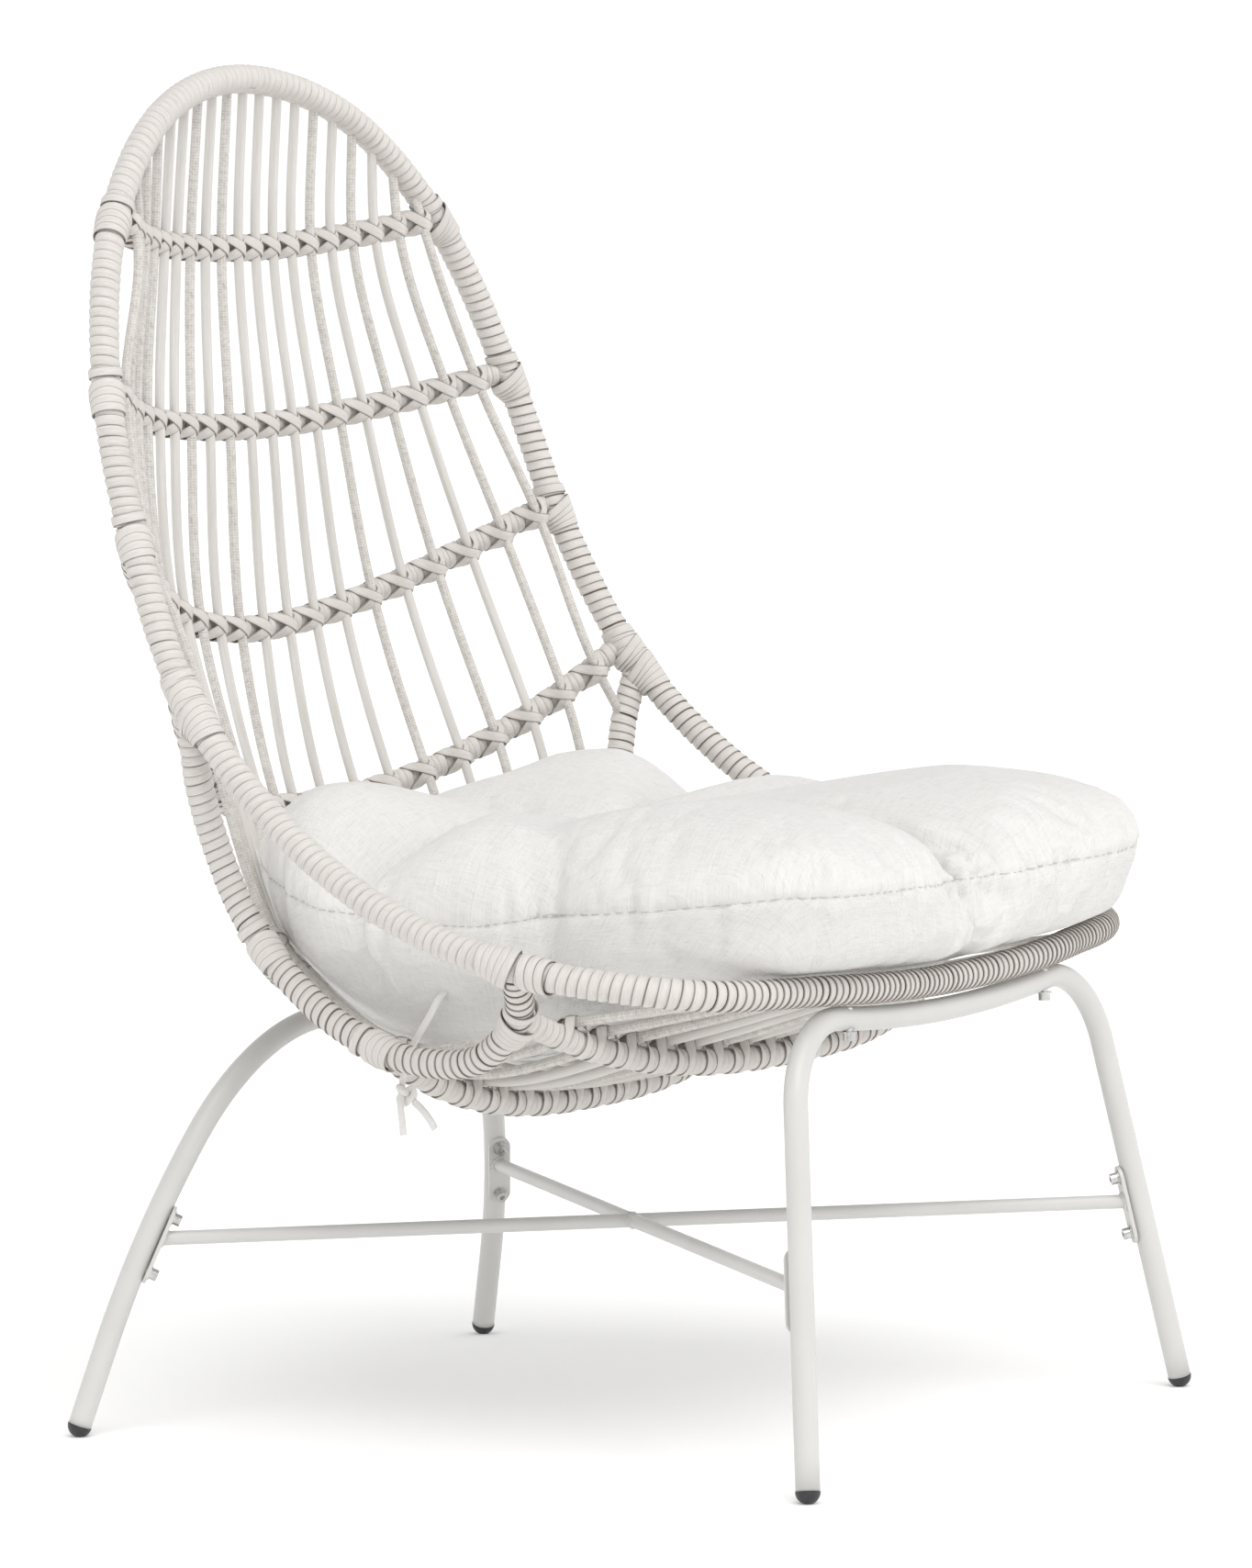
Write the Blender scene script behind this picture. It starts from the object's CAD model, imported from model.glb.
import math
from math import cos, pi, radians, sin

import bpy
import numpy as np
from mathutils import Matrix, Vector
from mathutils.bvhtree import BVHTree


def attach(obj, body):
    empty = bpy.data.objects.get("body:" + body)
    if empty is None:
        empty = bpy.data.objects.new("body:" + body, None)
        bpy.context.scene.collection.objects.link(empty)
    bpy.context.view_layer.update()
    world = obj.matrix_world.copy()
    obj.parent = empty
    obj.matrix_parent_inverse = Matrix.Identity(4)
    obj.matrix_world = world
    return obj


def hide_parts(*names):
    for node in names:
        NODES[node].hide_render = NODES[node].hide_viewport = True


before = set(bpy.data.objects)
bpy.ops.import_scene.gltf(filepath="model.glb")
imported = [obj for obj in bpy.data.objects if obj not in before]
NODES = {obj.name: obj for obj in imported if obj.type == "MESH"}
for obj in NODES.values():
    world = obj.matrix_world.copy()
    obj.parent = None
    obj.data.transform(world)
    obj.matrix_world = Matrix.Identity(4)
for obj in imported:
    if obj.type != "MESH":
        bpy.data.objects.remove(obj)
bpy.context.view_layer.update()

MM = 0.001
# The chair's lines are drawn from a point ahead of the middle of its outer box.
MIDDLE = np.array([0, 13.4, 0])
scene = bpy.context.scene


# ------------ camera and lamps

def make_camera():
    """The photograph's view: a long lens, low, from the chair's front left."""
    azimuth, elevation, roll, distance = radians(-59.12), radians(4.26), radians(-0.72), 6.160
    target = Vector((np.array([0, -36, 539]) + MIDDLE) * MM)
    back = Vector((sin(azimuth) * cos(elevation), -cos(azimuth) * cos(elevation), sin(elevation)))
    camera = bpy.data.objects.new("camera", bpy.data.cameras.new("camera"))
    scene.collection.objects.link(camera)
    turn = (-back).to_track_quat("-Z", "Y").to_matrix().to_4x4()
    camera.matrix_world = Matrix.Translation(target + back * distance) @ turn @ Matrix.Rotation(roll, 4, "Z")
    camera.data.sensor_width, camera.data.lens = 36, 166.152
    camera.data.clip_end = 100
    scene.camera = camera


def sun_light(name, come_from, power, width, tint=(1, 1, 1)):
    light = bpy.data.lights.new(name, "SUN")
    light.energy, light.angle, light.color = power, radians(width), tint
    lamp = bpy.data.objects.new(name, light)
    scene.collection.objects.link(lamp)
    lamp.rotation_mode = "QUATERNION"
    lamp.rotation_quaternion = (-Vector(come_from)).to_track_quat("-Z", "Y")


make_camera()


# ------------ nodes and materials

class Nodes:
    """A helper round a material's node tree."""

    def __init__(self, name):
        self.material = bpy.data.materials.new(name)
        self.material.use_nodes = True
        self.tree = self.material.node_tree
        self.shader = self.tree.nodes["Principled BSDF"]

    def put(self, socket, value):
        if isinstance(value, bpy.types.NodeSocket):
            self.tree.links.new(value, socket)
        elif value is not None:
            socket.default_value = value

    def add(self, kind, inputs=(), out=0, **settings):
        node = self.tree.nodes.new("ShaderNode" + kind)
        for key, value in settings.items():
            setattr(node, key, value)
        for key, value in dict(inputs).items():
            self.put(node.inputs[key], value)
        return node.outputs[out]

    def math(self, operation, a, b=None, c=None):
        return self.add("Math", {0: a, 1: b, 2: c}, operation=operation)

    def position(self):
        return self.add("TexCoord", out=3)

    def uv(self):
        return self.add("UVMap", uv_map="lay")

    def scaled(self, x, y):
        """The pieces' own UV, stretched."""
        return self.add("Mapping", {"Vector": self.uv(), "Scale": (x, y, 1.0)})

    def noise(self, vector, scale, detail=2.0, rough=0.5):
        return self.add("TexNoise", {"Vector": vector, "Scale": scale, "Detail": detail, "Roughness": rough})

    def ramp(self, value, *stops):
        node = self.tree.nodes.new("ShaderNodeValToRGB")
        self.put(node.inputs[0], value)
        while len(node.color_ramp.elements) < len(stops):
            node.color_ramp.elements.new(0.5)
        for element, (at, shade) in zip(node.color_ramp.elements, stops):
            element.position = at
            element.color = (*shade, 1) if hasattr(shade, "__len__") else (shade, shade, shade, 1)
        return node.outputs[0]

    def mix(self, factor, a, b):
        node = self.tree.nodes.new("ShaderNodeMix")
        node.data_type = "RGBA"
        self.put(node.inputs[0], factor)
        for index, value in ((6, a), (7, b)):
            self.put(node.inputs[index], (*value, 1) if isinstance(value, tuple) else value)
        return node.outputs[2]

    def bump(self, height, distance, strength):
        return self.add("Bump", {"Height": height, "Distance": distance, "Strength": strength})

    def finish(self, colour, roughness, normal=None, **sockets):
        self.put(self.shader.inputs["Base Color"], colour)
        self.put(self.shader.inputs["Roughness"], roughness)
        self.put(self.shader.inputs["Normal"], normal)
        for name, value in sockets.items():
            self.put(self.shader.inputs[name.replace("_", " ")], value)
        return self.material


def wrap_material():
    """Flat plastic strip: fine lines along it, dark at its cut edges."""
    n = Nodes("wicker_strip")
    across = n.add("SeparateXYZ", {0: n.uv()})
    lines = n.noise(n.scaled(9.0, 5.0), 1.0, 3.0, 0.6)
    fine = n.noise(n.scaled(34.0, 12.0), 1.0, 2.0, 0.7)
    patch = n.noise(n.position(), 26.0, 2.0)
    shade = n.ramp(lines, (0.28, (0.51, 0.475, 0.445)), (0.50, (0.66, 0.63, 0.60)),
                   (0.75, (0.735, 0.71, 0.68)))
    shade = n.mix(0.35, shade, n.ramp(fine, (0.3, (0.46, 0.43, 0.40)), (0.7, (0.76, 0.735, 0.71))))
    worn = n.math("MULTIPLY", n.ramp(patch, (0.35, 0.0), (0.7, 1.0)), 0.25)
    shade = n.mix(worn, shade, (0.72, 0.69, 0.66))
    off_middle = n.math("ABSOLUTE", n.math("SUBTRACT", across, 0.5))
    edge = n.math("MULTIPLY", n.ramp(off_middle, (0.412, 0.0), (0.452, 1.0)), 0.66)
    shade = n.mix(edge, shade, (0.19, 0.15, 0.13))
    groove = n.math("ADD", n.math("MULTIPLY", lines, 0.7), n.math("MULTIPLY", fine, 0.5))
    return n.finish(shade, n.ramp(fine, (0.3, 0.46), (0.7, 0.62)), n.bump(groove, 0.0004, 0.9),
                    Specular_IOR_Level=0.4)


def cane_material(name, braided):
    """Round cane. The braided kind has two sets of strands that cross."""
    n = Nodes(name)
    grain = n.noise(n.scaled(7.0, 10.0), 1.0, 3.0, 0.6)
    base = n.ramp(grain, (0.3, (0.57, 0.545, 0.515)), (0.7, (0.69, 0.67, 0.645)))
    if not braided:
        return n.finish(base, 0.42, n.bump(grain, 0.0002, 0.6), Specular_IOR_Level=0.45)
    split = n.add("SeparateXYZ", {0: n.uv()})
    along = split.node.outputs[1]
    twist = n.math("MULTIPLY", split, 5.0)
    step = n.math("MULTIPLY", along, 210.0)
    one = n.math("SINE", n.math("MULTIPLY", n.math("ADD", twist, step), 2 * pi))
    two = n.math("SINE", n.math("MULTIPLY", n.math("SUBTRACT", twist, step), 2 * pi))
    plait = n.math("MULTIPLY", one, two)
    speck = n.noise(n.scaled(7.0, 380.0), 1.0, 3.0, 0.65)
    blot = n.noise(n.scaled(3.0, 120.0), 1.0, 2.0, 0.6)
    mottle = n.math("ADD", n.math("MULTIPLY", speck, 0.6), n.math("MULTIPLY", blot, 0.4))
    lift = n.math("ADD", n.math("MULTIPLY", plait, 0.10), mottle)
    shade = n.ramp(lift, (0.30, (0.34, 0.31, 0.285)), (0.44, (0.53, 0.50, 0.47)), (0.62, (0.70, 0.68, 0.65)))
    shade = n.mix(0.3, shade, base)
    return n.finish(shade, 0.55, n.bump(lift, 0.0008, 0.9), Specular_IOR_Level=0.35)


def paint_material():
    n = Nodes("leg_paint_coat")
    peel = n.noise(n.position(), 900.0, 2.0, 0.6)
    broad = n.noise(n.position(), 14.0, 2.0)
    shade = n.ramp(broad, (0.3, (0.585, 0.58, 0.565)), (0.7, (0.62, 0.615, 0.60)))
    return n.finish(shade, n.ramp(peel, (0.3, 0.34), (0.7, 0.46)), n.bump(peel, 0.00012, 0.5),
                    Specular_IOR_Level=0.5, Coat_Weight=0.12, Coat_Roughness=0.3)


def steel_material():
    n = Nodes("dark_tube")
    rub = n.noise(n.position(), 60.0, 3.0)
    shade = n.ramp(rub, (0.3, (0.10, 0.085, 0.075)), (0.7, (0.17, 0.15, 0.135)))
    return n.finish(shade, 0.6, n.bump(rub, 0.0002, 0.4))


def cap_material():
    n = Nodes("foot_plastic_dark")
    grain = n.noise(n.position(), 700.0, 2.0)
    scuff = n.noise(n.position(), 90.0, 4.0, 0.7)
    shade = n.ramp(scuff, (0.35, (0.018, 0.018, 0.021)), (0.75, (0.045, 0.045, 0.05)))
    return n.finish(shade, n.ramp(scuff, (0.3, 0.34), (0.75, 0.52)), n.bump(grain, 0.0001, 0.6))


def screw_material():
    n = Nodes("zinc_screw")
    turned = n.noise(n.position(), 500.0, 2.0)
    stain = n.noise(n.position(), 120.0, 3.0)
    shade = n.ramp(stain, (0.3, (0.47, 0.465, 0.455)), (0.7, (0.68, 0.68, 0.67)))
    rough = n.ramp(turned, (0.3, 0.18), (0.7, 0.32))
    return n.finish(shade, rough, n.bump(turned, 0.00008, 0.4), Metallic=1.0)


def cloth_material(name, tone):
    """Linen weave from slubby threads in two directions."""
    n = Nodes(name)
    warp, weft = (n.noise(n.scaled(*way), 1.0, 3.0, 0.65) for way in ((900.0, 70.0), (70.0, 900.0)))
    slubs = (n.noise(n.scaled(*way), 1.0, 2.0, 0.6) for way in ((340.0, 28.0), (28.0, 340.0)))
    cloth = n.math("ADD", n.math("ADD", warp, weft), n.math("MULTIPLY", n.math("ADD", *slubs), 0.6))
    shade = n.ramp(n.math("MULTIPLY", cloth, 0.3125), (0.36, tuple(v * 0.83 for v in tone)),
                   (0.5, tuple(v * 0.965 for v in tone)), (0.64, tone))
    return n.finish(shade, 0.92, n.bump(cloth, 0.0009, 0.9), Specular_IOR_Level=0.2,
                    Sheen_Weight=0.25, Sheen_Roughness=0.5)


def plain_cloth(name, shade):
    n = Nodes(name)
    fuzz = n.noise(n.position(), 900.0, 3.0, 0.7)
    colour = n.ramp(fuzz, (0.3, tuple(v * 0.88 for v in shade)), (0.7, shade))
    return n.finish(colour, 0.9, n.bump(fuzz, 0.0004, 0.7), Sheen_Weight=0.2)


WRAP = wrap_material()
SMOOTH_CANE = cane_material("smooth_cane", False)
BRAID_CANE = cane_material("braided_cane", True)
PAINT = paint_material()
STEEL = steel_material()
CAP = cap_material()
SCREW = screw_material()
CLOTH = cloth_material("cushion_linen", (0.79, 0.778, 0.763))
TIE_CLOTH = plain_cloth("tie_cotton", (0.80, 0.785, 0.76))
THREAD = plain_cloth("seam_thread", (0.60, 0.575, 0.55))


def paint_node(node, material):
    """A CAD node keeps its mesh and takes a better material."""
    for entry in NODES[node].material_slots:
        entry.material = material


# ------------ the chair's lines, in millimetres

RIM_HALF = [
    (0, 344, 1145), (150, 330, 1110), (258, 306, 1015), (318, 272, 877), (338, 230, 745),
    (356, 172, 630), (370, 82, 536), (390, -36, 465), (403, -181, 422), (360, -304, 404),
    (216, -344, 395), (0, -348, 386)]
SIDE_HOOP = [
    (359, 164, 619), (342, 171, 562), (327, 164, 505), (321, 142, 450), (322, 102, 402),
    (328, 42, 360), (335, -28, 337), (345, -102, 342), (364, -150, 381), (402, -171, 424)]
# Each rib is (name, end x, end y, end z, middle y, middle z, y power, z power, lean, cane pitch).
RIBS = [
    ("top_rib", 251, 308, 1024, 367, 998, 2.5, 2.25, 0, 26.9),
    ("upper_back_rib", 317, 274, 884, 357, 842, 2.6, 2.1, 0, 33.2),
    ("middle_back_rib", 335, 239, 765, 346, 665, 2.2, 1.95, 3, 39),
    ("lower_back_rib", 358, 178, 638, 316, 508, 1.4, 2.2, 18, 41),
    ("rear_seat_rib", 321, 124, 428, 236, 357, 1.6, 2.0, 52, 39.5),
    ("middle_seat_rib", 331, 9, 348, -7, 273, 2.0, 2.8, 90, 39),
    ("front_seat_rib", 363, -148, 380, -197, 319, 2.0, 2.9, 98, 39)]
CANE_PAIRS = 9
TOP_PITCH, FRONT_PITCH = 25.2, 34.5
CANE_ON_HOOP = (342, 170, 568)
# Radii over the wicker, as the CAD has them, and the little more that the strip's raised edges reach.
RIM_R, HOOP_R, RIB_R, CANE_R = 12.5, 12.0, 10.5, 4.25
RIM_SKIN, HOOP_SKIN, RIB_SKIN = RIM_R + 0.3, HOOP_R + 0.2, RIB_R + 0.2
RIM_PITCH, HOOP_PITCH, RIB_PITCH = 8.7, 8.4, 7.8
FIT_GAP = 0.3
RIM_REF, HOOP_REF, RIB_REF = (0, -0.7, 0.7), (1, 0, 0), (0, 1, 0)


def unit(v):
    return v / np.linalg.norm(v, axis=-1, keepdims=True)


def mirrored(points):
    return np.array(points, float) * (-1, 1, 1)


def nearest(points, target):
    return np.argmin(np.linalg.norm(points - target, axis=1))


def curve(points, steps, closed=False):
    """A smooth line through points, whose speed follows the distance between them."""
    p = np.array(points, float)
    n = len(p)

    def slope(i):
        if not closed and i in (0, n - 1):
            a, b = (0, 1) if i == 0 else (n - 2, n - 1)
            return unit(p[b] - p[a])
        a, b, c = p[(i - 1) % n], p[i % n], p[(i + 1) % n]
        h, k = np.linalg.norm(b - a), np.linalg.norm(c - b)
        return ((b - a) * k / h + (c - b) * h / k) / (h + k)

    out = []
    for i in range(n if closed else n - 1):
        a, b = p[i], p[(i + 1) % n]
        h = np.linalg.norm(b - a)
        t = (np.arange(steps) / steps)[:, None]
        out.append((2 * t**3 - 3 * t**2 + 1) * a + (t**3 - 2 * t**2 + t) * slope(i) * h
                   + (3 * t**2 - 2 * t**3) * b + (t**3 - t**2) * slope(i + 1) * h)
    return np.vstack(out + ([] if closed else [p[-1:]]))


RIM_LOOP = RIM_HALF + [(-x, y, z) for x, y, z in RIM_HALF[-2:0:-1]]
RIM = curve(RIM_LOOP, 20, True)
HOOP = curve(SIDE_HOOP, 20)


def rib_at(rib, x):
    end_x, end_y, end_z, mid_y, mid_z, py, pz = rib[1:8]
    u = np.minimum(1, np.abs(x) / end_x)
    return np.stack([x + 0 * u, mid_y + (end_y - mid_y) * u**py, mid_z + (end_z - mid_z) * u**pz], -1)


def rib_facing(rib, x):
    along = unit(rib_at(rib, x + 2) - rib_at(rib, x - 2))
    look = np.array([0, -cos(radians(rib[8])), sin(radians(rib[8]))])
    return along, unit(look - along * (look @ along))


def rib_x(rib, k):
    """Where cane k crosses a rib: the pitch is measured along the rib."""
    xs = rib[1] * np.arange(25) / 24
    line = rib_at(rib, xs)
    lengths = np.concatenate([[0], np.cumsum(np.linalg.norm(np.diff(line, axis=0), axis=1))])
    return np.sign(k) * np.interp(abs(k) * rib[9], lengths, xs)


def cane_on_rib(rib, k):
    x = rib_x(rib, k)
    return rib_at(rib, x) + rib_facing(rib, x)[1] * (RIB_R + CANE_R + FIT_GAP)


def rim_across(x, keep):
    near = RIM[keep(RIM) & (RIM[:, 0] >= 0)]
    near = near[np.argsort(near[:, 0])]
    return np.array([x, *(np.interp(abs(x), near[:, 0], near[:, k]) for k in (1, 2))])


def cane_line(k):
    back = [cane_on_rib(rib, k) for rib in RIBS[:4]]
    top = rim_across(k * TOP_PITCH, lambda q: q[:, 2] > 900)
    if abs(k) == CANE_PAIRS:
        return curve([top, *back, np.array(CANE_ON_HOOP) * (np.sign(k), 1, 1)], 40)
    seat = [cane_on_rib(rib, k) for rib in RIBS[4:]]
    return curve([top, *back, *seat, rim_across(k * FRONT_PITCH, lambda q: q[:, 1] < -256)], 40)


# ------------ mesh builders

def new_mesh(name, points, quads, material, uv, caps):
    """A mesh from millimetre points, quads, end faces and one UV pair for each quad corner."""
    mesh = bpy.data.meshes.new(name)
    sizes = np.concatenate([np.full(len(quads), 4), [len(c) for c in caps]]).astype(np.int32)
    loops = np.concatenate([quads.ravel(), *[np.asarray(c) for c in caps]]).astype(np.int32)
    mesh.vertices.add(len(points))
    mesh.vertices.foreach_set("co", ((points + MIDDLE) * MM).astype(np.float32).ravel())
    mesh.loops.add(len(loops))
    mesh.loops.foreach_set("vertex_index", loops)
    mesh.polygons.add(len(sizes))
    mesh.polygons.foreach_set("loop_start", np.concatenate([[0], np.cumsum(sizes)[:-1]]).astype(np.int32))
    mesh.polygons.foreach_set("loop_total", sizes)
    full = np.full((len(loops), 2), 0.5, np.float32)
    full[: quads.size] = uv
    mesh.uv_layers.new(name="lay").data.foreach_set("uv", full.ravel())
    mesh.update(calc_edges=True)
    mesh.validate()
    mesh.polygons.foreach_set("use_smooth", np.ones(len(mesh.polygons), bool))
    mesh.materials.append(material)
    ob = bpy.data.objects.new(name, mesh)
    scene.collection.objects.link(ob)
    return ob


class Builder:
    """Collects swept grids into one mesh."""

    def __init__(self):
        self.points, self.quads, self.uv, self.caps, self.count = [], [], [], [], 0

    def grid(self, rings, u, v, closed=False):
        """rings[i, j] are points; u has one value more than a ring, v one for each ring."""
        n, m = rings.shape[:2]
        i = np.arange(n if closed else n - 1)[:, None]
        j = np.arange(m)[None, :]
        a, b = i * m + j, i * m + (j + 1) % m
        i2 = (i + 1) % n
        c, d = i2 * m + (j + 1) % m, i2 * m + j
        self.quads.append(np.stack([a, b, c, d], -1).reshape(-1, 4) + self.count)
        v = np.asarray(v, float)
        v2 = v[np.minimum(i + 1, len(v) - 1)] + 0 * j
        v1 = v[i] + 0 * j
        u1, u2 = np.asarray(u)[j] + 0 * i, np.asarray(u)[j + 1] + 0 * i
        self.uv.append(np.stack([u1, v1, u2, v1, u2, v2, u1, v2], -1).reshape(-1, 2))
        if not closed:
            self.caps += [list(range(self.count + m - 1, self.count - 1, -1)),
                          list(range(self.count + (n - 1) * m, self.count + n * m))]
        self.points.append(rings.reshape(-1, 3))
        self.count += n * m

    def bar(self, line, across, upward):
        """Sweeps an outline along a line. Its points lie across and upward from the line."""
        last = -1 if line.closed else None
        rings = (line.p[:last, None] + across[..., None] * line.side[:last, None]
                 + upward[..., None] * line.up[:last, None])
        sides = across.shape[-1]
        self.grid(rings, np.arange(sides + 1) / sides, line.s * MM, line.closed)

    def build(self, name, material):
        return new_mesh(name, np.vstack(self.points), np.vstack(self.quads), material, np.vstack(self.uv),
                        self.caps)


class Line:
    """A path measured by its length, with a steady frame round it."""

    def __init__(self, path, ref, closed=False):
        self.closed = closed
        loop = np.vstack([path, path[:1]]) if closed else path
        step = np.linalg.norm(np.diff(loop, axis=0), axis=1)
        self.s = np.concatenate([[0], np.cumsum(step)])
        self.length = self.s[-1]
        self.p = loop
        ahead, behind = np.roll(path, -1, 0), np.roll(path, 1, 0)
        if not closed:
            ahead[-1], behind[0] = path[-1], path[0]
        t = unit(ahead - behind)
        side = unit(np.cross(t, ref))
        up = np.cross(side, t)
        if closed:
            t, side, up = (np.vstack([q, q[:1]]) for q in (t, side, up))
        self.t, self.side, self.up = t, side, up

    def at(self, s):
        s = np.mod(s, self.length) if self.closed else s
        look = [np.stack([np.interp(s, self.s, q[:, k]) for k in range(3)], -1)
                for q in (self.p, self.t, self.side, self.up)]
        over = s - np.clip(s, 0, self.length)
        look[0] = look[0] + look[1] * np.asarray(over)[..., None]
        return look[0], unit(look[1]), unit(look[2]), unit(look[3])


def wander(count, at, seed, size):
    """Smooth random offsets, one drawn for each whole number."""
    draws = np.random.default_rng(seed).normal(0, size, count + 3)
    i = np.clip(np.floor(at).astype(int), 0, count + 1)
    f = at - np.floor(at)
    f = f * f * (3 - 2 * f)
    return draws[i] * (1 - f) + draws[i + 1] * f


# A turn of strip slopes up to one raised edge, which lies on the turn before it.
TURN = np.array([(0.0, -0.45), (0.16, 0.05), (0.38, 0.48), (0.70, 0.86), (0.92, 1.0), (0.99, 0.82),
                 (1.0, 0.30), (0.8, -0.45)])
TURN_U = [0.0, 0.045, 0.38, 0.70, 0.92, 0.985, 0.945, 0.90, 0.90]


def wind(builder, line, radius, pitch, seed, start=0.0, end=None, steps=20, lift=1.25, hand=1):
    """Flat strip wound round a line as a helix of overlapping turns."""
    end = line.length if end is None else end
    turns = round((end - start) / pitch)
    pitch = (end - start) / turns
    phi = np.linspace(0, turns, turns * steps + 1)
    s = start + pitch * phi + wander(turns, phi, seed, 0.045 * pitch)
    high = wander(turns, phi, seed + 1, 0.10)
    if line.closed:
        fade = np.minimum(1, np.minimum(phi, turns - phi))
        s = start + pitch * phi + (s - start - pitch * phi) * fade
        high = high * fade
    width = pitch * 1.16
    place = s[:, None] + (TURN[:, 0] - 0.5) * width
    p, _, side, up = line.at(place)
    r = (radius - lift + TURN[:, 1] * lift + high[:, None] * TURN[:, 0])[..., None]
    angle = hand * 2 * pi * phi
    out = np.cos(angle)[:, None, None] * side + np.sin(angle)[:, None, None] * up
    along = phi * 2 * pi * radius * MM * 10
    builder.grid(p + r * out, TURN_U, along)


# The outline of a loose strip: its back lies on what it binds.
BAND = np.array([(-0.50, 0.1), (-0.47, 0.72), (-0.36, 1.0), (0.0, 1.06), (0.36, 1.0), (0.47, 0.72),
                 (0.50, 0.1), (0.0, -0.15)])
BAND_U = [0.0, 0.03, 0.12, 0.5, 0.88, 0.97, 1.0, 1.0, 0.0]


def band(builder, points, normals, width, thick, steps=4):
    """A closed flat strip along a smooth line, lying with its back to the normals."""
    line = curve(points, steps, True)
    part = (np.arange(steps) / steps)[None, :, None]
    face = unit((normals[:, None] * (1 - part) + np.roll(normals, -1, 0)[:, None] * part).reshape(-1, 3))
    t = unit(np.roll(line, -1, 0) - np.roll(line, 1, 0))
    face = unit(face - t * np.sum(face * t, 1, keepdims=True))
    wide = np.cross(t, face)
    rings = line[:, None] + BAND[:, :1] * width * wide[:, None] + BAND[:, 1:] * thick * face[:, None]
    run = np.concatenate([[0], np.cumsum(np.linalg.norm(np.diff(line, axis=0), axis=1))]) * MM * 10
    builder.grid(rings, BAND_U, np.append(run, run[-1] + 0.05), True)


def placed(points, origin, a, b, c):
    q = np.array(points, float)
    return origin + q[:, :1] * a + q[:, 1:2] * b + q[:, 2:3] * c


def lash_cane(builder, origin, along, facing, half, rng):
    """Strip crossed over a cane and tied round the rib behind it."""
    up = np.cross(facing, along)
    r = RIB_R + 0.15
    top = RIB_R + 2 * CANE_R + FIT_GAP - 0.3
    d = half * rng.uniform(0.96, 1.04)
    w = rng.uniform(8.8, 9.8)
    points, normals = [], []
    for way, shoulder, slope, crown in ((-1, 0.86, top - 1.5, top), (1, 0.92, top - 0.6, top + 1.0)):
        points += [(way * a * d, b * r, c) for a, b, c in (
            (1, 0, -r), (1, -0.75, -0.6 * r), (0.98, -1, 0.15 * r), (0.78, -0.78, shoulder * r),
            (0.40, -0.36, slope), (0, 0, crown), (-0.40, 0.36, slope),
            (-0.78, 0.78, shoulder * r), (-0.98, 1, 0.15 * r), (-1, 0.75, -0.6 * r))]
        normals += [(way * a, b, c) for a, b, c in (
            (0, 0, -1), (0, -0.75, -0.6), (0, -1, 0.2), (0.5, -0.7, 0.7), (0.45, 0, 1), (0, 0, 1),
            (-0.45, 0, 1), (-0.5, 0.7, 0.7), (0, 1, 0.2), (0, 0.75, -0.6))]
    band(builder, placed(points, origin, along, up, facing), placed(normals, np.zeros(3), along, up, facing),
         w, 1.0)


def fan(builder, origin, along, out, radius, turns, straight):
    """Slanting turns round a bar, bunched where an arm meets it and spread on the far side."""
    front = np.cross(along, out)
    a = 2 * pi * np.arange(20) / 20
    for way, count in ((1, turns), (-1, straight)):
        for j in range(count - 1, -1, -1):
            near, far = (12.5 + 3.0 * j, 1 + 6.8 * j) if way > 0 else (14 + 7.6 * j, 9 + 8.0 * j)
            swell = (1.3 if way > 0 else 0.6) * (count - 1 - j)
            lift = 0.1 + 0.35 * (count - j) + swell * np.clip(np.cos(a), 0, 1)**2
            place = way * ((near + far) / 2 + (near - far) / 2 * np.cos(a))
            points = np.stack([place, (radius + lift) * np.cos(a), (radius + lift) * np.sin(a)], -1)
            normals = np.stack([0 * a, np.cos(a), np.sin(a)], -1)
            band(builder, placed(points, origin, along, out, front),
                 placed(normals, np.zeros(3), along, out, front), 8.4, 1.1, 3)


def sweep(builder, path, radius, sides, ref, ridge=None):
    """A round bar. ridge gives each point's extra radius from its angle and its place along."""
    line = Line(path, ref)
    turn = 2 * pi * np.arange(sides) / sides
    r = radius + (0 if ridge is None else ridge(turn[None, :], line.s[:, None]))
    builder.bar(line, r * np.cos(turn), r * np.sin(turn))


def resampled(path, step):
    line = Line(path, (0.3, 0.5, 0.8))
    count = max(2, int(line.length / step) + 1)
    return line.at(np.linspace(0, line.length, count))[0]


def settle(piece, slot, *nodes):
    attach(piece, "root")
    if nodes:
        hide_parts(*nodes)
    return piece


# ------------ the ties, free cords first

TIE = [(297, -32, 383), (300, -26, 370), (303, -18, 356), (305, -10, 342), (307, -6, 330), (310, -5, 318),
       (314, -6, 309), (318, -8, 302), (322, -10, 295), (325, -13, 287), (327, -15, 280), (328, -16, 274)]
TIE_TAIL = [(314, -18, 300), (315, -24, 296), (317, -30, 292), (319, -35, 288), (320, -39, 284),
            (321, -42, 280)]
TIE_KNOT = (313, -9, 305)
TIE_WIDTH, TIE_THICK = 6.4, 3.4


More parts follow.
